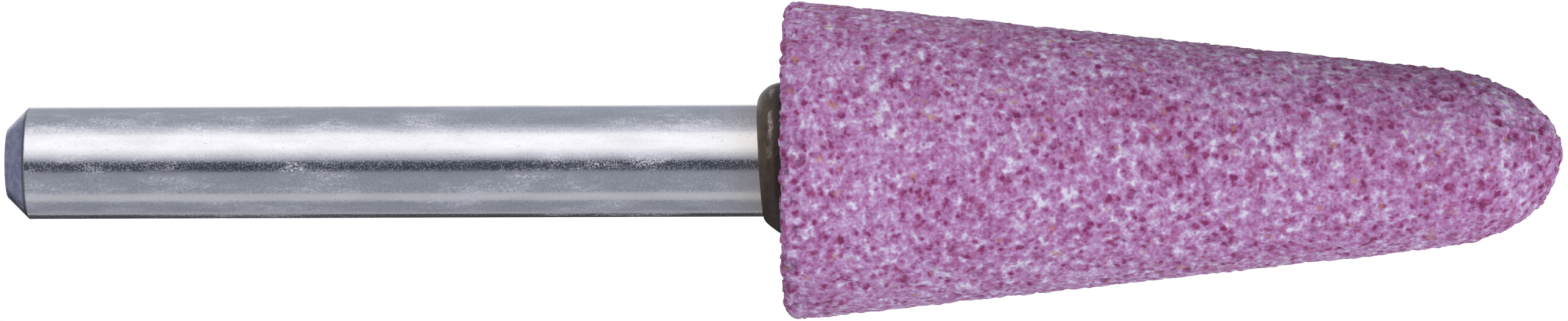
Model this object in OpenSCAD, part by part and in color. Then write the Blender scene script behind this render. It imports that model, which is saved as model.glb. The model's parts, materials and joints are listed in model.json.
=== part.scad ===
// Mounted point: a tapered, round-nosed vitrified abrasive head cemented on a straight steel shank.
// The axis lies along +X. The origin is the centre of the shank's free end, and the nose points to +X.

/* [Shank] */
// Diameter of the shank, which is the collet's size
shank_d = 6; // [3:0.1:8]
// Length of the shank that stands out of the head
shank_out = 41.65; // [25:0.5:60]
// Length of the shank inside the head
shank_in = 20; // [10:0.5:28]
// Width of the 45 degree chamfer on the free end
lead_in = 1.15; // [0.2:0.05:1.2]
// Width of the 45 degree chamfer on the end inside the head
inner_chamfer = 0.5; // [0.2:0.05:1]

/* [Knurl on the cemented end] */
// Number of ridges
knurl_ridges = 30; // [16:1:40]
// Depth of the grooves below the ridges
knurl_depth = 0.35; // [0.1:0.05:0.6]
// How far the ridges stay below the ground surface of the shank
knurl_relief = 0.05; // [0.02:0.01:0.2]

/* [Abrasive head] */
// Diameter at the rear face, measured to the sharp corner
head_d = 17.2; // [15:0.1:30]
// Length from the rear face to the tip
head_l = 41.6; // [36:0.1:60]
// Angle between the tapered side and the axis, in degrees
taper = 6.2; // [0:0.1:7.5]
// Half length of the ellipse that rounds the nose
nose_l = 8; // [4:0.1:11]
// Radius of the rounded rear edge
edge_r = 0.8; // [0.2:0.1:2]

/* [Cement] */
// Thickness of the cement film between the shank and the bore
film = 0.2; // [0.1:0.05:0.5]
// Length of the bead that stands out behind the head
bead_l = 1.25; // [0.5:0.05:3]
// Height of the bead above the shank's surface
bead_h = 1; // [0.7:0.05:2]

/* [Hidden] */

$fn = 96;
// Steps along each rounded stretch of an outline
arc_steps = 32;

shank_r = shank_d / 2;
ridge_r = shank_r - knurl_relief;
groove_r = ridge_r - knurl_depth;
bore_r = shank_r + film;

// Places along the axis
head_x = shank_out;
knurl_x = head_x - bead_l;
shank_end_x = head_x + shank_in;
bore_end_x = shank_end_x + film;

// Radius of the tapered side at a distance ahead of the rear face
function side_r(ahead) = head_d / 2 - ahead * tan(taper);

// The rear edge is an arc that is tangent to the rear face and to the tapered side
edge_centre = [side_r(edge_r) - edge_r / cos(taper), head_x + edge_r];

// The nose is the end of an ellipse whose height makes it tangent to the tapered side
nose_centre = [0, head_x + head_l - nose_l];
nose_side_r = side_r(head_l - nose_l);
nose_r = sqrt(pow(nose_side_r, 2) - pow(nose_l * tan(taper), 2));
nose_start = asin(nose_l * tan(taper) / nose_side_r);

// Arc of an ellipse as points of [radius, place along the axis]; angle 0 is square to the axis
function arc(radial, axial, centre, from, to) = [
    for (i = [0 : arc_steps])
        let (angle = from + (to - from) * i / arc_steps)
        [centre[0] + radial * cos(angle), centre[1] + axial * sin(angle)]
];

// Turns an outline of [radius, place along the axis] about the X axis
module turned(outline) {
    rotate([0, 90, 0])
        rotate_extrude()
            polygon(outline);
}

// Star section of a straight knurl with sharp ridges
module knurl_section() {
    polygon([
        for (i = [0 : 2 * knurl_ridges - 1])
            let (r = i % 2 == 0 ? ridge_r : groove_r, angle = 180 * i / knurl_ridges)
            [r * cos(angle), r * sin(angle)]
    ]);
}

// Ground length of the shank, with a chamfered free end
module ground_length() {
    turned([
        [0, 0],
        [shank_r - lead_in, 0],
        [shank_r, lead_in],
        [shank_r, knurl_x],
        [0, knurl_x]
    ]);
}

// Knurled length that the cement grips, rooted one diameter deep in the ground length
module knurled_length() {
    root_x = knurl_x - shank_d;
    intersection() {
        translate([root_x, 0, 0])
            rotate([0, 90, 0])
                linear_extrude(shank_end_x - root_x)
                    knurl_section();
        turned([
            [0, root_x],
            [shank_r, root_x],
            [shank_r, shank_end_x - inner_chamfer],
            [shank_r - inner_chamfer, shank_end_x],
            [0, shank_end_x]
        ]);
    }
}

// Steel shank, turned and knurled in one piece
module shank() {
    color("silver") {
        ground_length();
        knurled_length();
    }
}

// Pink vitrified abrasive with a blind bore
module abrasive_head() {
    edge = arc(edge_r, edge_r, edge_centre, -90, taper);
    nose = arc(nose_r, nose_l, nose_centre, nose_start, 90);
    bore = [[0, bore_end_x], [bore_r, bore_end_x], [bore_r, head_x]];
    color("orchid")
        turned(concat(edge, nose, bore));
}

// Cement that fills the bore round the shank and swells into a bead behind the head
module cement() {
    bead = arc(bead_h, bead_l, [shank_r, head_x], -90, 0);
    plug = [[bore_r, head_x], [bore_r, bore_end_x], [0, bore_end_x], [0, knurl_x]];
    color("saddlebrown")
        difference() {
            turned(concat(bead, plug));
            knurled_length();
        }
}

shank();
abrasive_head();
cement();
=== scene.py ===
"""Mounted point: a grained abrasive head cemented on a ground steel shank, with its studio."""

import json
import math
from typing import NamedTuple

import bpy
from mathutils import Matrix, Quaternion, Vector, noise


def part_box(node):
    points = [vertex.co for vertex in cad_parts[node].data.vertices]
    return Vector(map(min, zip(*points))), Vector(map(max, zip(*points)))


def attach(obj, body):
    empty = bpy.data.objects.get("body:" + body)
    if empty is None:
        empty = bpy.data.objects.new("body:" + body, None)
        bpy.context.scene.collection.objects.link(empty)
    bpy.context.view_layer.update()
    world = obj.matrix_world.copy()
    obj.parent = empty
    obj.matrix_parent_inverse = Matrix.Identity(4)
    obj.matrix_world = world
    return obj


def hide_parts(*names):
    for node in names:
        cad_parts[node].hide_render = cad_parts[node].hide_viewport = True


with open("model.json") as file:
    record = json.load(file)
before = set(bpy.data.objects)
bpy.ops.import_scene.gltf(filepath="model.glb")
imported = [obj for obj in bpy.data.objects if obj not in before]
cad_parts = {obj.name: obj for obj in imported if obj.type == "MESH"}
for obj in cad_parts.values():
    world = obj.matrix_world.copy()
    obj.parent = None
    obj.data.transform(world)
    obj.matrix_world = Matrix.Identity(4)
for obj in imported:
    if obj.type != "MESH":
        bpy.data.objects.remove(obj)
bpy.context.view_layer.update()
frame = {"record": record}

bl_info = {
    "name": "Mounted point",
    "version": (1, 0, 0),
    "blender": (4, 5, 0),
    "location": "3D View > Sidebar > Mounted point",
    "description": "Dresses a mounted point: steel shank, cement bead and grained abrasive head",
    "category": "Object",
}

MM = 0.001

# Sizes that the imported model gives, in metres
GRIP = next(mount for mount in frame["record"]["mounts"] if mount["name"] == "shank")
SHANK_R = GRIP["dims"]["r_mm"] * MM
LEAD_IN = GRIP["pos_m"][0] - GRIP["dims"]["length_mm"] * MM / 2
SHANK_END_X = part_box("shank")[1].x
BEAD_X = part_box("cement")[0].x
BEAD_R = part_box("cement")[1].z
BORE_END_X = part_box("cement")[1].x
HEAD_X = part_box("abrasive_head")[0].x
HEAD_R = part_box("abrasive_head")[1].z
TIP_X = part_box("abrasive_head")[1].x
FILM = BORE_END_X - SHANK_END_X
BORE_R = SHANK_R + FILM

# How finely the pieces are turned: steps round the axis
SHANK_STEPS = 192
HEAD_STEPS = 300
CEMENT_STEPS = 160
FLOOR_STEPS = 128

# Points closer than this are one point
TOLERANCE = 0.001 * MM

# Edges sharper than this stay sharp
SHARP_STEEL = math.radians(35)
SHARP_CEMENT = math.radians(40)

# Factors that give the grains, the pores and the chips random values of their own
GRAIN_SEED = 9.7
PORE_SEED = 5.3
CHIP_SEED = 7.1

BLACK = (0.01, 0.01, 0.01)
WHITE = (1, 1, 1)


class Face(NamedTuple):
    """A flat face turned to the axis: lengths in millimetres, and degrees up from the camera's side."""

    x: float
    width: float
    distance: float
    low: float
    high: float
    radiance: float = 0.0

    def place(self):
        """Its centre, its width and height, and the point on the axis that it faces, in metres."""
        middle = math.radians((self.low + self.high) / 2)
        half = math.radians((self.high - self.low) / 2)
        aim = Vector((self.x * MM, 0, 0))
        away = Vector((0, -math.cos(middle), math.sin(middle)))
        height = 2 * self.distance * math.tan(half)
        return aim + self.distance * MM * away, (self.width * MM, height * MM), aim


# Faces of the softbox from its rim to its core, each with its share of the softbox's brightness
SOFTBOX = {
    "key_rim": Face(x=-45, width=240, distance=150, low=7, high=84, radiance=0.38),
    "key_outer": Face(x=-45, width=240, distance=149, low=14, high=79, radiance=0.2),
    "key_inner": Face(x=-45, width=240, distance=148, low=22, high=68, radiance=0.24),
    "key_core": Face(x=-45, width=240, distance=147, low=30, high=63, radiance=0.17),
}
SOFTBOX_BACK = Face(x=-45, width=240, distance=153, low=7, high=84)

# Cards that draw the bands on the steel
BANDS = {
    "lens_card": Face(x=8, width=132, distance=150, low=-14, high=7.5, radiance=0.09),
    "sky_card": Face(x=4, width=92, distance=100, low=85, high=160, radiance=0.52),
    "apron": Face(x=8, width=100, distance=90, low=-62, high=-14, radiance=0.44),
    "tray": Face(x=8, width=100, distance=60, low=-122, high=-81, radiance=0.4),
    "edge_flag": Face(x=18, width=90, distance=30, low=-166, high=-126, radiance=0.05),
}

# The fill, the wall and the flag, which don't face the axis squarely
FILL_PLACE = MM * Vector((270, -180, -40))
FILL_AIM = MM * Vector((60, 0, 0))
WALL_PLACE = MM * Vector((-60, 35, 0))
FLAG_PLACE = MM * Vector((150, 65, 46))
FLAG_SIZE = (185 * MM, 270 * MM)


def length(name, description, default):
    """A length property in metres."""
    return bpy.props.FloatProperty(
        name=name, description=description, default=default, precision=6, unit="LENGTH", subtype="DISTANCE"
    )


def angle(name, description, degrees):
    """An angle property, given in degrees."""
    return bpy.props.FloatProperty(
        name=name, description=description, default=math.radians(degrees), unit="ROTATION", subtype="ANGLE"
    )


def colour(name, description, default):
    """A colour property in linear light."""
    return bpy.props.FloatVectorProperty(
        name=name, description=description, default=default, size=3, min=0, max=1, subtype="COLOR"
    )


def amount(name, description, default):
    """A plain number property."""
    return bpy.props.FloatProperty(name=name, description=description, default=default, min=0)


class ShankProperties(bpy.types.PropertyGroup):
    """Sizes and colours of the steel shank"""

    edge_radius: length("Edge radius", "Rounding of the chamfer's two edges", 0.05 * MM)
    knurl_depth: length("Knurl depth", "Depth of the grooves below the ridges", 0.35 * MM)
    knurl_relief: length("Knurl relief", "How far the ridges stay below the ground surface", 0.05 * MM)
    inner_chamfer: length("Inner chamfer", "Chamfer on the end inside the head", 0.5 * MM)
    knurl_ridges: bpy.props.IntProperty(
        name="Knurl ridges", description="Ridges of the straight knurl", default=30, min=3
    )
    line_spacing: length("Line spacing", "Distance between the grinding lines", 0.06 * MM)
    grit_size: length("Grit size", "Size of the finest frosted dots", 0.085 * MM)
    fleck_size: length("Fleck size", "Size of the dark flecks", 0.11 * MM)
    scrape_size: length("Scrape size", "Size of the scrapes in a scuff", 0.15 * MM)
    mottle_size: length("Mottle size", "Size of the mottles on the chamfer", 0.4 * MM)
    scratch_size: length("Scratch size", "Size of the curls of the scratches", 0.5 * MM)
    patch_size: length("Patch size", "Size of the frosted patches", 1.2 * MM)
    wave_size: length("Wave size", "Size of the waves that grinding left", 1.6 * MM)
    skin_relief: length("Skin relief", "Height of the relief that is finer than the mesh", 0.006 * MM)
    polish: amount("Polish", "Roughness of the ground surface between the dots", 0.14)
    steel: colour("Steel", "Colour of the ground surface", (0.70, 0.71, 0.74))
    dull_steel: colour("Dull steel", "Colour of the duller spots of the ground surface", (0.55, 0.56, 0.58))
    worn_steel: colour("Worn steel", "Colour of the frosted patches and the scuffs", (0.88, 0.89, 0.94))
    pitted_steel: colour("Pitted steel", "Colour of the flecks and the chamfer's rim", (0.16, 0.16, 0.18))
    turned_steel: colour("Turned steel", "Colour of the chamfer and the end face", (0.31, 0.31, 0.48))
    stain: colour("Stain", "Colour of the film that the cement left on the shank", (0.46, 0.40, 0.33))


class HeadProperties(bpy.types.PropertyGroup):
    """Sizes and colours of the abrasive head"""

    taper: angle("Taper", "Angle between the tapered side and the axis", 6.2)
    nose_length: length("Nose length", "Half length of the ellipse that rounds the nose", 8 * MM)
    edge_radius: length("Edge radius", "Rounding of the rear edge", 0.8 * MM)
    dish: length("Dish", "How far the rear face is hollowed towards the bore", 0.3 * MM)
    mesh_step: length("Mesh step", "Distance between the points of the grained skin", 0.172 * MM)
    grain_size: length("Grain size", "Size of one abrasive grain", 0.4 * MM)
    grain_height: length("Grain height", "How far the grains stand out of the bond", 0.12 * MM)
    pore_spacing: length("Pore spacing", "Distance between pores", 1.0 * MM)
    pore_depth: length("Pore depth", "Depth of the pores", 0.18 * MM)
    chip_size: length("Chip size", "Size of the chips on the rear edge and the nose", 1.1 * MM)
    crumb_size: length("Crumb size", "Size of the smaller chips among them", 0.45 * MM)
    chip_depth: length("Chip depth", "Depth of the deepest chips", 0.32 * MM)
    edge_chips: amount("Edge chips", "Share of the chip depth on the rear edge", 1.4)
    nose_chips: amount("Nose chips", "Share of the chip depth at the tip", 0.6)
    side_chips: amount("Side chips", "Share of the chip depth on the tapered side", 0.1)
    flat_depth: length("Flat depth", "Depth of the flat that use has worn on the nose", 0.27 * MM)
    flat_tilt: angle("Flat tilt", "How far the worn flat faces down from the axis", 22.8)
    swirl_size: length("Swirl size", "Size of the finest blotches of colour", 0.18 * MM)
    speck_size: length("Speck size", "Distance between the small magenta dots", 0.25 * MM)
    haze_size: length("Haze size", "Size of the soft blotches of colour", 0.44 * MM)
    dot_size: length("Dot size", "Distance between the large magenta dots", 0.47 * MM)
    bond_size: length("Bond size", "Size of the patches of pale bond", 0.6 * MM)
    stain_size: length("Stain size", "Size of the rusty stains", 0.75 * MM)
    lump_size: length("Lump size", "Distance between the darker lumps", 0.85 * MM)
    blush_size: length("Blush size", "Size of the redder areas", 0.9 * MM)
    cluster_size: length("Cluster size", "Size of the paler and darker areas", 2.2 * MM)
    skin_relief: length("Skin relief", "Height of the relief that is finer than the mesh", 0.03 * MM)
    gloss: amount("Gloss", "Strength of the skin's reflection", 0.3)
    dust: amount("Dust", "Strength of the pale sheen at a grazing angle", 0.12)
    wine: colour("Wine", "Colour of the deepest pores and dots", (0.205, 0.02, 0.11))
    magenta: colour("Magenta", "Colour of the pores and dots", (0.265, 0.038, 0.155))
    plum: colour("Plum", "Colour of the darker grains", (0.347, 0.117, 0.305))
    orchid: colour("Orchid", "Colour of most grains", (0.427, 0.191, 0.42))
    lilac: colour("Lilac", "Colour of the lighter grains", (0.5, 0.297, 0.54))
    chalk: colour("Chalk", "Colour of the pale bond between the grains", (0.585, 0.477, 0.657))
    frost: colour("Frost", "Colour of the palest bond", (0.702, 0.657, 0.774))
    rose: colour("Rose", "Colour of the redder grains", (0.40, 0.10, 0.25))
    rust: colour("Rust", "Colour of the few rusty stains", (0.468, 0.225, 0.117))


class CementProperties(bpy.types.PropertyGroup):
    """Sizes and colours of the cement bead"""

    lean: length("Lean", "How much further the bead reaches along the shank at its top", 0.16 * MM)
    slump: length("Slump", "How much of its shoulder the bead lacks at its bottom", 0.45 * MM)
    lift: length("Lift", "How much higher the bead stands at its top", 0.18 * MM)
    root: length("Root", "How deep the bead starts below the shank's surface", 0.1 * MM)
    foot: length("Foot", "How deep the bead keys into the rear face", 0.3 * MM)
    mesh_step: length("Mesh step", "Distance between the points of the bead's outline", 0.06 * MM)
    wave: length("Wave", "Height of the waves on the bead", 0.12 * MM)
    wave_size: length("Wave size", "Size of the waves on the bead", 1.3 * MM)
    grit_size: length("Grit size", "Size of the finest specks", 0.1 * MM)
    swirl_size: length("Swirl size", "Size of the swirls in the cement", 0.8 * MM)
    # The patches of the painted highlight along the bead's crest lie this far apart
    highlight_patch_size: length("Scuff size", "Distance between the scuffs on the crest", 1.7 * MM)
    skin_relief: length("Skin relief", "Height of the relief that is finer than the mesh", 0.12 * MM)
    gloss: amount("Gloss", "Strength of the skin's reflection", 0.32)
    brown: colour("Brown", "Colour of the cement", (0.042, 0.027, 0.016))
    olive: colour("Olive", "Colour of the paler swirls", (0.09, 0.063, 0.038))
    # Scuff is the colour of the painted highlight along the bead's crest
    scuff: colour("Scuff", "Colour of the pale scuffs on the bead's crest", (0.40, 0.34, 0.30))
    # Shade is the colour of painted shade, darker below the bead and where it meets the head
    shade: colour("Shade", "Colour of the dirt below the bead and at the head", (0.022, 0.010, 0.007))


class StudioProperties(bpy.types.PropertyGroup):
    """Sizes and colours of the studio"""

    view_distance: length("View distance", "From the camera to the middle of the part", 505 * MM)
    view_width: length("View width", "Width of the frame at the part", 83.9 * MM)
    view_yaw: angle("View yaw", "How far the camera stands round towards the nose", 2.03)
    view_elevation: angle("View elevation", "How far the camera stands above the part", 5)
    view_roll: angle("View roll", "How far the camera is tipped", 0.38)
    floor_drop: length("Floor drop", "From the part's axis down to the floor", 250 * MM)
    floor_radius: length("Floor radius", "Radius of the round floor", 2250 * MM)
    floor_colour: colour("Floor colour", "Colour of the floor", (0.82, 0.82, 0.83))
    cloud_colour: colour("Cloud colour", "Colour of the faint clouds on the floor", (0.6, 0.6, 0.6))
    cloud_size: length("Cloud size", "Size of the faint clouds on the floor", 60 * MM)
    cloud: amount("Cloud", "Strength of the faint clouds on the floor", 0.06)
    ambient: colour("Ambient", "Light of the room round the set", (0.80, 0.81, 0.84))
    key_radiance: amount("Key radiance", "Brightness of the softbox's middle", 1.58)
    key_colour: colour("Key colour", "Tint of the softbox inside its rim", (1.0, 0.945, 0.87))
    fill_width: length("Fill width", "Width and height of the fill light", 240 * MM)
    fill_radiance: amount("Fill radiance", "Brightness of the fill light's face", 2.0)
    wall_width: length("Wall width", "Width and height of the wall that the chamfer reflects", 130 * MM)
    wall_radiance: amount("Wall radiance", "Brightness of that wall", 0.42)
    card_colour: colour("Card colour", "Tint of the cards and the softbox's rim", (0.83, 0.86, 1.0))
    lens_colour: colour("Lens colour", "Tint of the dark card round the lens", (0.55, 0.62, 1.0))


def work_on(piece):
    """Makes a piece the only selected object, in object mode."""
    if bpy.context.mode != "OBJECT":
        bpy.ops.object.mode_set(mode="OBJECT")
    bpy.ops.object.select_all(action="DESELECT")
    bpy.context.view_layer.objects.active = piece
    if piece:
        piece.select_set(True)


def apply_modifier(piece, kind, name, **settings):
    """Adds a modifier to a piece and applies it."""
    work_on(piece)
    modifier = piece.modifiers.new(name, kind)
    for key, value in settings.items():
        setattr(modifier, key, value)
    bpy.ops.object.modifier_apply(modifier=name)


def arc(centre, half_length, half_height, start, end, step):
    """Points of an ellipse's arc as (place along the axis, radius); angle 0 is square to the axis."""
    count = math.ceil(max(half_length, half_height) * abs(end - start) / step)
    bearings = [start + (end - start) * i / count for i in range(count + 1)]
    return [(centre[0] + half_length * math.sin(b), centre[1] + half_height * math.cos(b)) for b in bearings]


def stepped(outline, step):
    """An outline with its long stretches divided into steps."""
    points = [outline[0]]
    for start, end in zip(outline, outline[1:]):
        count = max(1, math.ceil(math.dist(start, end) / step))
        points += [
            tuple(a + (b - a) * i / count for a, b in zip(start, end)) for i in range(1, count + 1)
        ]
    return points


def turn(name, outline, steps):
    """Turns an outline of (place along the axis, radius) about the X axis into a closed mesh."""
    work_on(None)
    bpy.ops.mesh.primitive_plane_add(size=MM)
    piece = bpy.context.object
    piece.name = piece.data.name = name
    bpy.ops.object.mode_set(mode="EDIT")
    bpy.ops.mesh.select_all(action="SELECT")
    bpy.ops.mesh.merge(type="CENTER")
    bpy.ops.transform.translate(value=(outline[0][0], 0, outline[0][1]))
    for (x0, r0), (x1, r1) in zip(outline, outline[1:]):
        bpy.ops.mesh.extrude_vertices_move(TRANSFORM_OT_translate={"value": (x1 - x0, 0, r1 - r0)})
    bpy.ops.mesh.select_all(action="SELECT")
    bpy.ops.mesh.spin(steps=steps, angle=2 * math.pi, center=(0, 0, 0), axis=(1, 0, 0))
    bpy.ops.mesh.select_all(action="SELECT")
    bpy.ops.mesh.remove_doubles(threshold=TOLERANCE)
    bpy.ops.mesh.normals_make_consistent(inside=False)
    bpy.ops.object.mode_set(mode="OBJECT")
    bpy.ops.object.shade_smooth()
    return piece


def add_knurled_end(settings):
    """The straight-knurled end of the shank, from inside the ground length to its chamfered tip."""
    ridge_r = SHANK_R - settings.knurl_relief
    groove_r = ridge_r - settings.knurl_depth
    root_x = BEAD_X - 2 * SHANK_R
    work_on(None)
    bpy.ops.mesh.primitive_circle_add(
        vertices=2 * settings.knurl_ridges, radius=ridge_r, fill_type="NGON",
        location=(root_x, 0, 0), rotation=(0, math.pi / 2, 0),
    )
    end = bpy.context.object
    bpy.ops.object.transform_apply(location=True, rotation=True, scale=True)
    for vertex in end.data.vertices:
        vertex.select = vertex.index % 2 == 1
    for loose in (*end.data.edges, *end.data.polygons):
        loose.select = False
    bpy.ops.object.mode_set(mode="EDIT")
    bpy.ops.mesh.select_mode(type="VERT")
    shrink = groove_r / ridge_r
    bpy.ops.transform.resize(value=(1, shrink, shrink), center_override=(root_x, 0, 0))
    bpy.ops.mesh.select_all(action="SELECT")
    long_stretch = SHANK_END_X - settings.inner_chamfer - root_x
    bpy.ops.mesh.extrude_region_move(TRANSFORM_OT_translate={"value": (long_stretch, 0, 0)})
    bpy.ops.mesh.extrude_region_move(TRANSFORM_OT_translate={"value": (settings.inner_chamfer, 0, 0)})
    taper = 1 - settings.inner_chamfer / ridge_r
    bpy.ops.transform.resize(value=(1, taper, taper), center_override=(SHANK_END_X, 0, 0))
    bpy.ops.mesh.select_all(action="SELECT")
    bpy.ops.mesh.normals_make_consistent(inside=False)
    bpy.ops.object.mode_set(mode="OBJECT")
    return end


class Wire:
    """A shader socket. An expression on wires adds its Math nodes."""

    def __init__(self, finish, socket):
        self.finish = finish
        self.socket = socket

    def maths(self, operation, first, second):
        """The output of a Math node."""
        sockets = {"Value": first, "Value_001": second}
        return self.finish.node("ShaderNodeMath", {"operation": operation}, sockets)["Value"]

    def __add__(self, other):
        return self.maths("ADD", self, other)

    def __radd__(self, other):
        return self.maths("ADD", other, self)

    def __sub__(self, other):
        return self.maths("SUBTRACT", self, other)

    def __rsub__(self, other):
        return self.maths("SUBTRACT", other, self)

    def __mul__(self, other):
        return self.maths("MULTIPLY", self, other)

    def __rmul__(self, other):
        return self.maths("MULTIPLY", other, self)

    def larger(self, other):
        """The larger of two values."""
        return self.maths("MAXIMUM", self, other)


class Finish:
    """A node tree for a material or the world."""

    def __init__(self, owner):
        owner.use_nodes = True
        self.owner = owner
        self.tree = owner.node_tree
        self.tree.nodes.clear()

    def node(self, kind, settings=None, sockets=None):
        """Adds a node, sets its settings and then its sockets' values or links, and gives its outputs."""
        node = self.tree.nodes.new(kind)
        for name, value in (settings or {}).items():
            if name == "stops":
                self.set_stops(node.color_ramp, value)
            else:
                setattr(node, name, value)
        inputs = {socket.identifier: socket for socket in node.inputs}
        for name, value in (sockets or {}).items():
            if isinstance(value, Wire):
                self.tree.links.new(value.socket, inputs[name])
            else:
                inputs[name].default_value = value
        return {socket.identifier: Wire(self, socket) for socket in node.outputs}

    @staticmethod
    def set_stops(ramp, stops):
        """Sets a colour ramp's stops, given as {position: colour}."""
        while len(ramp.elements) < len(stops):
            ramp.elements.new(1)
        for element, (position, value) in zip(ramp.elements, stops.items()):
            element.position = position
            element.color = opaque(value)

    def millimetres(self, stretch=(1, 1, 1), shift=(0, 0, 0)):
        """Object coordinates in millimetres, stretched and shifted."""
        sockets = {
            "Vector": self.node("ShaderNodeTexCoord")["Object"],
            "Scale": tuple(factor / MM for factor in stretch),
            "Location": shift,
        }
        return self.node("ShaderNodeMapping", None, sockets)["Vector"]

    def axes(self, place):
        """The three coordinates of a place."""
        return self.node("ShaderNodeSeparateXYZ", None, {"Vector": place})

    def noise(self, place, size, detail=2.0, roughness=0.5, distortion=0.0):
        """Fractal noise from 0 to 1 at a place in millimetres, with features of a size in metres."""
        sockets = {
            "Vector": place, "Scale": MM / size,
            "Detail": detail, "Roughness": roughness, "Distortion": distortion,
        }
        return self.node("ShaderNodeTexNoise", None, sockets)["Fac"]

    def stray(self, place, size, reach):
        """A place in millimetres that strays by up to a reach, in swirls of a size, both in metres."""
        sockets = {"Vector": place, "Scale": MM / size, "Detail": 1.0}
        swirl = self.node("ShaderNodeTexNoise", None, sockets)["Color"]
        sockets = {"Vector": swirl, "Vector_001": (2 * reach / MM,) * 3, "Vector_002": place}
        return self.node("ShaderNodeVectorMath", {"operation": "MULTIPLY_ADD"}, sockets)["Vector"]

    def cells(self, place, size):
        """Voronoi cells of a size in metres: the distance to the middle, and a random colour for each."""
        return self.node("ShaderNodeTexVoronoi", None, {"Vector": place, "Scale": MM / size})

    def dots(self, cells, core, edge, none, full):
        """Dots in the middles of cells, soft from core to edge. Chance sets how strong each is."""
        chance = self.node("ShaderNodeSeparateColor", None, {"Color": cells["Color"]})["Red"]
        return (1 - self.ramp(cells["Distance"], core, edge)) * self.ramp(chance, none, full)

    def ramp(self, value, low, high):
        """A smooth step from 0 at low to 1 at high."""
        sockets = {"Value": value, "From Min": low, "From Max": high}
        return self.node("ShaderNodeMapRange", {"interpolation_type": "SMOOTHSTEP"}, sockets)["Result"]

    def mix(self, share, first, second):
        """Two colours mixed by a share."""
        sockets = {"Factor_Float": share, "A_Color": opaque(first), "B_Color": opaque(second)}
        return self.node("ShaderNodeMix", {"data_type": "RGBA"}, sockets)["Result_Color"]

    def bump(self, height, distance):
        """A normal from a height of 0 to 1 that stands for a distance in metres."""
        sockets = {"Height": height, "Strength": 1.0, "Distance": distance}
        return self.node("ShaderNodeBump", None, sockets)["Normal"]

    def surface(self, **sockets):
        """Ends a material in a Principled BSDF, whose sockets are named with underscores for spaces."""
        named = {name.replace("_", " "): value for name, value in sockets.items()}
        shader = self.node("ShaderNodeBsdfPrincipled", None, named)["BSDF"]
        self.node("ShaderNodeOutputMaterial", None, {"Surface": shader})
        return self.owner


def opaque(value):
    """A colour with an alpha of 1, or a wire as it is."""
    return value if isinstance(value, Wire) else (*value, 1.0)


def new_finish(name):
    """An empty finish for a new material."""
    return Finish(bpy.data.materials.new(name))


def ground_steel(settings):
    """Ground steel with grinding lines, frosted dots, scratches, scuffs, flecks and a turned chamfer."""
    finish = new_finish("ground_steel")
    chamfer_x, bead_x = LEAD_IN / MM, BEAD_X / MM
    place = finish.millimetres()
    along = finish.axes(place)["X"]

    # Patterns, some drawn out along the axis or round it
    round_axis = finish.millimetres(stretch=(1, 0.04, 0.04))
    lines = finish.noise(round_axis, settings.line_spacing, detail=3, roughness=0.7)
    grit = finish.noise(place, settings.grit_size, detail=2, roughness=0.55)
    waves = finish.noise(finish.millimetres(stretch=(0.5, 1, 1)), settings.wave_size, detail=1)
    dash_place = finish.millimetres(stretch=(0.5, 1, 1), shift=(7, 3, 1))
    dashes = finish.noise(dash_place, settings.fleck_size, detail=2, roughness=0.6)
    patch_place = finish.millimetres(stretch=(0.3, 1, 1), shift=(3, 1, 2))
    patches = finish.noise(patch_place, settings.patch_size, detail=4, roughness=0.65)
    scrape_place = finish.millimetres(stretch=(0.6, 1, 1), shift=(2, 6, 5))
    scrapes = finish.noise(scrape_place, settings.scrape_size, detail=3, roughness=0.65)
    curled = finish.stray(place, size=0.7 * MM, reach=0.3 * MM)
    curls = finish.noise(curled, settings.scratch_size, detail=2) - 0.5

    # Marks on the ground surface
    flecks = finish.ramp(dashes, 0.65, 0.78)
    worn = finish.ramp(patches, 0.48, 0.68)
    dots = finish.ramp(grit + 0.25 * (patches - 0.5), 0.38, 0.72)
    scratches = 1 - finish.ramp(curls * curls, 0.0, 0.0012)
    frost = worn * scratches.larger(dots)
    scuffs = finish.ramp(patches, 0.5, 0.68) * finish.ramp(scrapes, 0.46, 0.64)
    stained = finish.ramp(along + 2.2 * patches, bead_x - 1.4, bead_x + 1.6)

    # The turned chamfer, and the dark rim where it meets the ground surface
    turned = 1 - finish.ramp(along, chamfer_x - 0.03, chamfer_x + 0.02)
    rim_start = finish.ramp(along + 0.06 * grit, chamfer_x - 0.14, chamfer_x - 0.08)
    rim_end = finish.ramp(along + 0.1 * grit, chamfer_x + 0.03, chamfer_x + 0.12)
    rim = rim_start * (1 - rim_end)
    blotches = finish.noise(place, settings.mottle_size, detail=3)
    mottle = finish.ramp(0.5 * lines + 0.5 * blotches, 0.4, 0.62)
    chamfer = finish.mix(0.45 * mottle, settings.turned_steel, settings.steel)

    bright = finish.ramp(0.5 * grit + 0.5 * patches, 0.32, 0.62)
    tint = finish.mix(bright, settings.dull_steel, settings.steel)
    tint = finish.mix((0.5 * frost).larger(0.6 * scuffs), tint, settings.worn_steel)
    tint = finish.mix(0.6 * stained, tint, settings.stain)
    tint = finish.mix(turned, tint, chamfer)
    tint = finish.mix((0.45 * flecks).larger(0.85 * rim), tint, settings.pitted_steel)
    rough = settings.polish + 0.2 * dots + 0.13 * frost + 0.2 * scuffs + 0.1 * turned
    relief = 0.3 * grit + 0.1 * lines + 1.2 * waves + 0.08 * frost - 0.3 * flecks
    normal = finish.bump(relief, settings.skin_relief)
    return finish.surface(Base_Color=tint, Metallic=1.0, Roughness=rough, Normal=normal)


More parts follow.
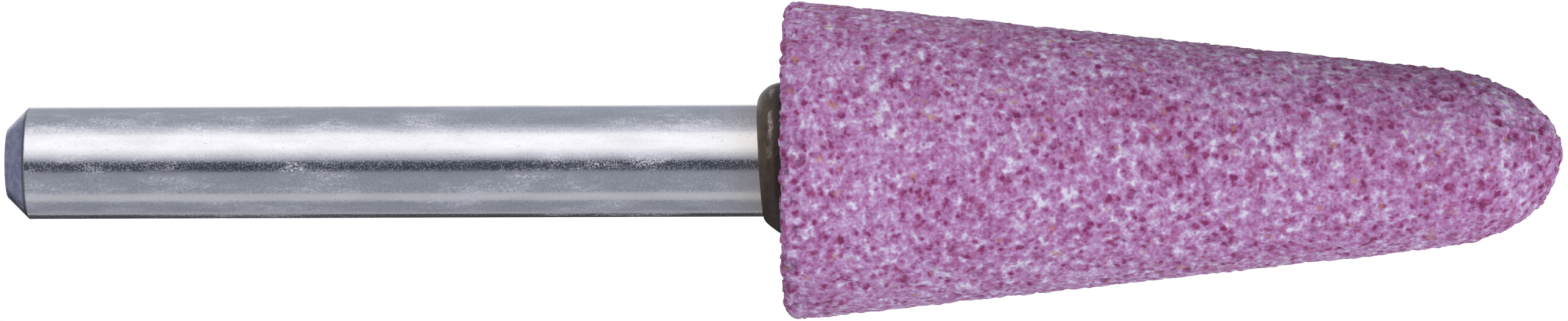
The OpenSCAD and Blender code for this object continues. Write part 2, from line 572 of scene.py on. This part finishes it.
def vitrified_abrasive(settings):
    """Pink grains in a pale bond, with small magenta pores and a few rusty stains."""
    finish = new_finish("vitrified_abrasive")
    rear_x = HEAD_X / MM
    place = finish.millimetres()
    along = finish.axes(place)["X"]

    # Soft blotches of several sizes
    haze = finish.noise(place, settings.haze_size, detail=3, distortion=0.15)
    clusters = finish.noise(finish.millimetres(shift=(5, 2, 7)), settings.cluster_size, detail=2)
    swirl = finish.noise(finish.millimetres(shift=(2, 8, 3)), settings.swirl_size, detail=2, distortion=0.1)
    bond = finish.noise(finish.millimetres(shift=(9, 1, 6)), settings.bond_size, detail=3, distortion=0.2)
    blush = finish.noise(finish.millimetres(shift=(1, 9, 4)), settings.blush_size, detail=3)
    stains = finish.noise(finish.millimetres(shift=(6, 5, 8)), settings.stain_size, detail=3)

    # Dots and lumps with ragged outlines
    wavy = finish.stray(place, size=0.4 * MM, reach=0.13 * MM)
    ragged = finish.stray(wavy, size=0.13 * MM, reach=0.05 * MM)
    grains = finish.cells(ragged, settings.dot_size)
    specks = finish.cells(ragged, settings.speck_size)
    lumps = finish.cells(finish.stray(place, size=0.5 * MM, reach=0.15 * MM), settings.lump_size)
    big_dot = finish.dots(grains, core=0.14, edge=0.56, none=0.2, full=0.95)
    small_dot = finish.dots(specks, core=0.12, edge=0.54, none=0.4, full=0.95)
    lump = finish.dots(lumps, core=0.3, edge=0.6, none=0.2, full=0.9)

    # The pale bond between the grains, the pores in the mesh, darkened partly as painted shade in their pits,
    # and the rear edge, darker as painted shade
    web = finish.ramp(grains["Distance"], 0.3, 0.8)
    pale = web * finish.ramp(bond + 0.2 * (clusters - 0.5), 0.4, 0.7)
    pits = finish.node("ShaderNodeAttribute", {"attribute_name": "pore"})["Fac"]
    # The pores keep their own deeper colour, and the pits of the mesh add painted shade
    pore = finish.ramp(pits + haze, 0.7, 1.2)
    # Painted shade along the rear edge, next to the bead
    rim = 1 - finish.ramp(along + 0.4 * swirl, rear_x + 0.2, rear_x + 0.75)

    tone = (
        0.56 + 1.9 * (haze - 0.5) + 0.6 * (clusters - 0.5) + 0.85 * (swirl - 0.5) + 0.5 * pale
        - 0.3 * lump - 0.54 * big_dot - 0.3 * small_dot - 0.12 * pore - 0.3 * rim
    )
    stops = {
        0.0: settings.wine, 0.14: settings.magenta, 0.32: settings.plum, 0.5: settings.orchid,
        0.68: settings.lilac, 0.86: settings.chalk, 1.0: settings.frost,
    }
    tint = finish.node("ShaderNodeValToRGB", {"stops": stops}, {"Fac": 0.14 + 0.72 * tone})["Color"]
    warm = finish.ramp(blush, 0.5, 0.7) * (1 - finish.ramp(tone, 0.3, 0.65))
    tint = finish.mix(0.5 * warm, tint, settings.rose)
    tint = finish.mix(0.6 * finish.ramp(stains, 0.64, 0.74), tint, settings.rust)
    rough = 0.7 - 0.25 * finish.ramp(swirl, 0.66, 0.74)
    relief = 0.6 * haze + 0.25 * swirl - 0.25 * big_dot - 0.12 * small_dot
    normal = finish.bump(relief, settings.skin_relief)
    return finish.surface(
        Base_Color=tint, Roughness=rough, Normal=normal,
        Specular_IOR_Level=settings.gloss, Sheen_Weight=settings.dust,
    )


def hardened_cement(settings):
    """Brown adhesive with paler swirls, a painted highlight along its crest, and painted shade below it and
    at the head.
    """
    finish = new_finish("hardened_cement")
    rear_x = HEAD_X / MM
    crest_x = rear_x - 0.62
    place = finish.millimetres()
    axes = finish.axes(place)
    along, up = axes["X"], axes["Z"]
    swirls = finish.noise(finish.millimetres(stretch=(2, 1, 1)), settings.swirl_size, detail=4, roughness=0.6)
    grit = finish.noise(place, settings.grit_size, detail=2)

    # Painted shade below the bead and where it meets the head, and a painted highlight along the crest,
    # strongest on the upper shoulder
    shade_at_head = finish.ramp(along + 0.4 * swirls, rear_x - 0.4, rear_x - 0.02)
    # Painted shade: darker towards the bottom of the bead
    low = 1 - finish.ramp(up + swirls, -3.0, 2.0)
    shoulder = finish.ramp(up, 0.0, 1.0) * (1 - finish.ramp(up, 2.4, 3.4))
    highlight_patches = finish.ramp(finish.noise(place, settings.highlight_patch_size, detail=1) + 0.25 * shoulder, 0.52, 0.7)
    from_crest = along - crest_x + 0.5 * (swirls - 0.5)
    # The scuff mask is a painted highlight along the crest, broken into patches
    scuff = (1 - finish.ramp(from_crest * from_crest, 0.0, 0.035)) * highlight_patches

    tint = finish.mix(finish.ramp(swirls + 0.3 * grit, 0.5, 0.85), settings.brown, settings.olive)
    # Painted highlight along the crest, in pale patches
    tint = finish.mix(0.8 * scuff * finish.ramp(grit, 0.3, 0.6), tint, settings.scuff)
    # Painted shade below the bead and where it meets the head
    tint = finish.mix((0.65 * low).larger(0.9 * shade_at_head), tint, settings.shade)
    rough = 0.2 + 0.25 * swirls + 0.1 * grit
    normal = finish.bump(swirls + 0.3 * grit, settings.skin_relief)
    return finish.surface(Base_Color=tint, Roughness=rough, Normal=normal, Specular_IOR_Level=settings.gloss)


def finish_piece(piece, material, node):
    """Gives a piece its material and its body, and hides the node that it stands for."""
    piece.data.materials.clear()
    piece.data.materials.append(material)
    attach(piece, "root")
    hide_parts(node)


class MOUNTED_POINT_OT_shank(bpy.types.Operator):
    """Turns the ground shank and joins its knurled end to it"""

    bl_idname = "mounted_point.shank"
    bl_label = "Add shank"

    def execute(self, context):
        settings = context.scene.mounted_point_shank
        edge = settings.edge_radius
        step = edge / 5
        set_back = edge * math.tan(math.pi / 8)
        face_centre = (edge, SHANK_R - LEAD_IN - set_back)
        face_edge = arc(face_centre, edge, edge, -math.pi / 2, -math.pi / 4, step)
        side_centre = (LEAD_IN + set_back, SHANK_R - edge)
        side_edge = arc(side_centre, edge, edge, -math.pi / 4, 0, step)
        ground_end_x = (BEAD_X + HEAD_X) / 2
        outline = [(0, 0), *face_edge, *side_edge, (ground_end_x, SHANK_R), (ground_end_x, 0)]
        shank = turn("ground_shank", stepped(outline, 4 * SHANK_R), SHANK_STEPS)
        knurled_end = add_knurled_end(settings)
        apply_modifier(shank, "BOOLEAN", "knurl", operation="UNION", solver="EXACT", object=knurled_end)
        bpy.data.objects.remove(knurled_end)
        work_on(shank)
        bpy.ops.object.shade_smooth_by_angle(angle=SHARP_STEEL)
        finish_piece(shank, ground_steel(settings), "shank")
        return {"FINISHED"}


def rear_radius(settings):
    """Radius of the sharp corner between the rear face and the tapered side, before it is rounded."""
    return HEAD_R + settings.edge_radius * (math.tan(settings.taper) + 1 / math.cos(settings.taper) - 1)


def nose_side(settings):
    """Radius of the tapered side at the middle of the nose's ellipse."""
    return rear_radius(settings) - (TIP_X - settings.nose_length - HEAD_X) * math.tan(settings.taper)


def nose_radius(settings):
    """Half height of the nose's ellipse, which is tangent to the tapered side."""
    return math.sqrt(nose_side(settings) ** 2 - (settings.nose_length * math.tan(settings.taper)) ** 2)


def head_outline(settings):
    """The outline of the head, from the bore's mouth round the outside to the bottom of the bore."""
    slope = math.tan(settings.taper)
    edge = settings.edge_radius
    step = settings.mesh_step
    edge_centre = (HEAD_X + edge, rear_radius(settings) - edge * slope - edge / math.cos(settings.taper))
    rear_edge = arc(edge_centre, edge, edge, -math.pi / 2, settings.taper, step)
    nose_centre = (TIP_X - settings.nose_length, 0)
    nose_start = math.asin(settings.nose_length * slope / nose_side(settings))
    nose = arc(nose_centre, settings.nose_length, nose_radius(settings), nose_start, math.pi / 2, step)
    skin = stepped([(HEAD_X + settings.dish, BORE_R), *rear_edge, *nose], step)
    return [*skin[:-1], (TIP_X, 0), (BORE_END_X, 0), (BORE_END_X, BORE_R), skin[0]]


class MOUNTED_POINT_OT_head(bpy.types.Operator):
    """Turns the abrasive head and works grains, pores, chips and a worn flat into its skin"""

    bl_idname = "mounted_point.head"
    bl_label = "Add abrasive head"

    def execute(self, context):
        settings = context.scene.mounted_point_head
        head = turn("grained_head", head_outline(settings), HEAD_STEPS)
        skin = head.vertex_groups.new(name="skin")
        worn = head.vertex_groups.new(name="worn")
        proud = settings.grain_height
        deep = proud + settings.pore_depth + settings.chip_depth
        pits = [0.0] * len(head.data.vertices)
        for vertex in head.data.vertices:
            index, place = vertex.index, vertex.co
            radius = math.hypot(place.y, place.z)
            if radius < BORE_R + TOLERANCE and place.x < BORE_END_X + TOLERANCE:
                continue
            pits[index] = self.pit(place, settings)
            chip = self.chip(place, settings) * self.exposed(place.x, radius, settings)
            height = self.grain(place, settings) - self.flat(place, settings)
            height -= pits[index] * settings.pore_depth + chip * settings.chip_depth
            skin.add([index], 1, "REPLACE")
            worn.add([index], min(1, max(0, (proud - height) / deep)), "REPLACE")
        # The depth of the pits, which the abrasive's shader darkens partly as painted shade
        pore = head.data.attributes.new("pore", "FLOAT", "POINT")
        pore.data.foreach_set("value", pits)
        apply_modifier(head, "DISPLACE", "raise", strength=proud, mid_level=0, vertex_group="skin")
        apply_modifier(head, "DISPLACE", "wear", strength=-deep, mid_level=0, vertex_group="worn")
        finish_piece(head, vitrified_abrasive(settings), "abrasive_head")
        return {"FINISHED"}

    def grain(self, place, settings):
        """Height of the grains at a place: each is domed and sits at its own height."""
        distances, middles = noise.voronoi(place / settings.grain_size)
        dome = 0.5 - distances[0]
        seat = noise.cell(middles[0] * GRAIN_SEED)
        swell = noise.noise(place / (5 * settings.grain_size))
        return settings.grain_height * (0.6 * dome + 0.45 * seat + 0.3 * swell)

    def pit(self, place, settings):
        """Depth of the pores at a place, from 0 to 1; they differ in width and some spots have none."""
        distances, middles = noise.voronoi(place / settings.pore_spacing)
        usual, spread, least = 0.24, 0.2, 0.12
        width = usual + spread * noise.cell(middles[0] * PORE_SEED)
        return max(0, 1 - (distances[0] / width) ** 2) if width > least else 0

    def chip(self, place, settings):
        """Depth of the chips at a place, from 0 to 1: lumps and crumbs came loose and left sloping sides."""
        usual, steepness = 0.25, 2.5
        depth = usual
        for size, share in ((settings.chip_size, 0.4), (settings.crumb_size, 1.1)):
            distances, middles = noise.voronoi(place / size)
            side = min(1, steepness * (distances[1] - distances[0]))
            depth += share * noise.cell(middles[0] * CHIP_SEED) * side
        return min(1, max(0, depth))

    def flat(self, place, settings):
        """How far a place stands out beyond the flat that use has worn on the nose."""
        facing = Vector((math.cos(settings.flat_tilt), 0, -math.sin(settings.flat_tilt)))
        nose_middle = Vector((TIP_X - settings.nose_length, 0, 0))
        reach = math.hypot(settings.nose_length * facing.x, nose_radius(settings) * facing.z)
        return max(0, facing.dot(place - nose_middle) - reach + settings.flat_depth)

    def exposed(self, x, radius, settings):
        """How far a place on the outline is open to chips: most on the rear edge, then towards the tip."""
        from_edge = math.dist((x, radius), (HEAD_X, HEAD_R)) / settings.edge_radius
        on_edge = min(settings.edge_chips, settings.edge_chips + 1 - from_edge)
        along_nose = 1 + (x - TIP_X) / settings.nose_length
        on_nose = min(settings.nose_chips, 0.15 + 0.5 * along_nose)
        return max(on_edge, on_nose, settings.side_chips)


class MOUNTED_POINT_OT_cement(bpy.types.Operator):
    """Turns the cement in the bore and lets its bead sag"""

    bl_idname = "mounted_point.cement"
    bl_label = "Add cement"

    def execute(self, context):
        settings = context.scene.mounted_point_cement
        foot_x = HEAD_X + settings.foot
        bead_length, bead_height = HEAD_X - BEAD_X, BEAD_R - SHANK_R
        bead = arc((HEAD_X, SHANK_R), bead_length, bead_height, -math.pi / 2, 0, settings.mesh_step)
        root = [(BEAD_X, 0), (BEAD_X, SHANK_R - settings.root)]
        plug = [(foot_x, BEAD_R), (foot_x, BORE_R), (BORE_END_X, BORE_R), (BORE_END_X, 0)]
        cement = turn("cement_bead", [*root, *bead, *plug], CEMENT_STEPS)
        self.settle(cement, settings)
        waves = bpy.data.textures.new("bead_waves", "CLOUDS")
        waves.noise_scale = settings.wave_size
        waves.noise_depth = 1
        apply_modifier(
            cement, "DISPLACE", "waves", texture=waves, texture_coords="LOCAL",
            strength=settings.wave, mid_level=0.5, vertex_group="bead",
        )
        shank = bpy.data.objects["ground_shank"]
        apply_modifier(cement, "BOOLEAN", "cavity", operation="DIFFERENCE", solver="EXACT", object=shank)
        work_on(cement)
        bpy.ops.object.shade_smooth_by_angle(angle=SHARP_CEMENT)
        finish_piece(cement, hardened_cement(settings), "cement")
        return {"FINISHED"}

    def settle(self, cement, settings):
        """Leans the bead along the shank, lifts its top, slims its bottom, and groups its points."""
        bead = cement.vertex_groups.new(name="bead")
        for vertex in cement.data.vertices:
            place = vertex.co
            radius = math.hypot(place.y, place.z)
            if place.x > HEAD_X + settings.foot / 2 or radius < SHANK_R - 2 * settings.root:
                continue
            up = place.z / radius
            start = min(1, max(0, (HEAD_X - place.x) / (HEAD_X - BEAD_X)))
            height = max(0, (radius - SHANK_R) / (BEAD_R - SHANK_R))
            slump = settings.slump * max(0, -up) * start * height
            grow = 1 + (settings.lift * max(0, up) * height - slump) / radius
            vertex.co = (place.x - settings.lean * up * start, place.y * grow, place.z * grow)
            bead.add([vertex.index], height, "REPLACE")


class MOUNTED_POINT_OT_studio(bpy.types.Operator):
    """Adds the floor, the lights, the cards that the steel reflects, the world and the camera"""

    bl_idname = "mounted_point.studio"
    bl_label = "Add studio"

    def execute(self, context):
        settings = context.scene.mounted_point_studio
        self.add_floor(settings)
        self.add_lights(settings)
        self.add_cards(settings)
        self.light_world(context, settings)
        self.add_camera(context, settings)
        context.scene.view_settings.view_transform = "Standard"
        return {"FINISHED"}

    def add_floor(self, settings):
        """A round pale floor below the part."""
        work_on(None)
        bpy.ops.mesh.primitive_circle_add(
            vertices=FLOOR_STEPS, radius=settings.floor_radius, fill_type="NGON",
            location=(HEAD_X, 0, -settings.floor_drop),
        )
        floor = bpy.context.object
        floor.name = "floor"
        finish = new_finish("pale_floor")
        clouds = finish.noise(finish.millimetres(), settings.cloud_size, detail=3)
        tint = finish.mix(settings.cloud * clouds, settings.floor_colour, settings.cloud_colour)
        floor.data.materials.append(finish.surface(Base_Color=tint, Roughness=1.0, Specular_IOR_Level=0.0))

    def add_card(self, name, centre, size, facing, radiance=0.0, tint=WHITE):
        """A card of a size that faces a point. The camera looks through it, and it may glow."""
        work_on(None)
        bpy.ops.mesh.primitive_plane_add(size=1)
        card = bpy.context.object
        card.name = name
        card.scale = (*size, 1)
        card.location = centre
        card.rotation_mode = "QUATERNION"
        card.rotation_quaternion = (Vector(facing) - Vector(centre)).to_track_quat("Z", "Y")
        card.visible_camera = False
        material = new_finish(name).surface(
            Base_Color=opaque(BLACK), Roughness=1.0, Emission_Color=opaque(tint), Emission_Strength=radiance
        )
        card.data.materials.append(material)
        return card

    def add_lamp(self, name, centre, size, facing, radiance, tint):
        """An area lamp of a size whose face has a radiance and a tint."""
        work_on(None)
        bpy.ops.object.light_add(type="AREA", location=centre)
        lamp = bpy.context.object
        lamp.name = name
        lamp.data.shape = "RECTANGLE"
        lamp.data.size, lamp.data.size_y = size
        lamp.data.energy = radiance * math.pi * size[0] * size[1]
        lamp.data.color = tint
        lamp.rotation_mode = "QUATERNION"
        lamp.rotation_quaternion = (Vector(centre) - Vector(facing)).to_track_quat("Z", "Y")
        lamp.visible_camera = False

    def add_lights(self, settings):
        """The softbox above the camera, brighter towards its middle, and a fill on the nose's side."""
        for name, face in SOFTBOX.items():
            tint = settings.card_colour if name == "key_rim" else settings.key_colour
            self.add_lamp(name, *face.place(), face.radiance * settings.key_radiance, tint)
        self.add_card("key_back", *SOFTBOX_BACK.place())
        fill_size = (settings.fill_width, settings.fill_width)
        self.add_lamp("fill", FILL_PLACE, fill_size, FILL_AIM, settings.fill_radiance, WHITE)

    def add_cards(self, settings):
        """The cards that draw the shank's bands, a wall for its chamfer, and a flag over the nose."""
        for name, band in BANDS.items():
            tint = settings.lens_colour if name == "lens_card" else settings.card_colour
            card = self.add_card(name, *band.place(), band.radiance, tint)
            card.visible_diffuse = card.visible_shadow = False
        ahead = WALL_PLACE + Vector((1, 0, 0))
        wall_size = (settings.wall_width, settings.wall_width)
        self.add_card("wall", WALL_PLACE, wall_size, ahead, settings.wall_radiance, settings.card_colour)
        below = FLAG_PLACE - Vector((0, 0, 1))
        self.add_card("nose_flag", FLAG_PLACE, FLAG_SIZE, below)

    def light_world(self, context, settings):
        """A room that is white to the eye and in reflections, and lights the part softly."""
        context.scene.world = bpy.data.worlds.new("studio")
        finish = Finish(context.scene.world)
        rays = finish.node("ShaderNodeLightPath")
        seen = rays["Is Camera Ray"].larger(rays["Is Glossy Ray"]).larger(rays["Is Transmission Ray"])
        room = finish.node("ShaderNodeBackground", None, {"Color": opaque(settings.ambient), "Strength": 1.0})
        white = finish.node("ShaderNodeBackground", None, {"Color": opaque(WHITE), "Strength": 1.0})
        sockets = {"Fac": seen, "Shader": room["Background"], "Shader_001": white["Background"]}
        mixed = finish.node("ShaderNodeMixShader", None, sockets)["Shader"]
        finish.node("ShaderNodeOutputWorld", None, {"Surface": mixed})

    def add_camera(self, context, settings):
        """A long lens that looks at the middle of the part, a little from above and from the nose's side."""
        middle = Vector((HEAD_X, 0, 0))
        yaw, rise = settings.view_yaw, settings.view_elevation
        back = Vector((math.sin(yaw), -math.cos(yaw) * math.cos(rise), math.cos(yaw) * math.sin(rise)))
        bpy.ops.object.camera_add(location=middle + back * settings.view_distance)
        camera = bpy.context.object
        camera.name = "camera"
        camera.data.lens = camera.data.sensor_width * settings.view_distance / settings.view_width
        camera.data.clip_start = 10 * MM
        camera.rotation_mode = "QUATERNION"
        roll = Quaternion((0, 0, 1), -settings.view_roll)
        camera.rotation_quaternion = (-back).to_track_quat("-Z", "Y") @ roll
        context.scene.camera = camera


class MOUNTED_POINT_PT_panel(bpy.types.Panel):
    """Lists the pieces, their sizes and their colours"""

    bl_idname = "MOUNTED_POINT_PT_panel"
    bl_label = "Mounted point"
    bl_space_type = "VIEW_3D"
    bl_region_type = "UI"
    bl_category = "Mounted point"

    def draw(self, context):
        for operator, group in PIECES.items():
            box = self.layout.box()
            box.operator(operator)
            settings = getattr(context.scene, group)
            for name in settings.bl_rna.properties.keys():
                if name not in ("rna_type", "name"):
                    box.prop(settings, name)


PIECES = {
    "mounted_point.shank": "mounted_point_shank",
    "mounted_point.head": "mounted_point_head",
    "mounted_point.cement": "mounted_point_cement",
    "mounted_point.studio": "mounted_point_studio",
}
GROUPS = (ShankProperties, HeadProperties, CementProperties, StudioProperties)
CLASSES = (
    *GROUPS,
    MOUNTED_POINT_OT_shank,
    MOUNTED_POINT_OT_head,
    MOUNTED_POINT_OT_cement,
    MOUNTED_POINT_OT_studio,
    MOUNTED_POINT_PT_panel,
)


def register():
    """Adds the classes, and their settings to the scene."""
    for item in CLASSES:
        bpy.utils.register_class(item)
    for name, group in zip(PIECES.values(), GROUPS):
        setattr(bpy.types.Scene, name, bpy.props.PointerProperty(type=group))


def unregister():
    """Takes the settings and the classes away again."""
    for name in PIECES.values():
        delattr(bpy.types.Scene, name)
    for item in reversed(CLASSES):
        bpy.utils.unregister_class(item)


def main():
    """Builds every piece and the studio."""
    register()
    bpy.ops.mounted_point.shank()
    bpy.ops.mounted_point.head()
    bpy.ops.mounted_point.cement()
    bpy.ops.mounted_point.studio()


if __name__ == "__main__":
    main()
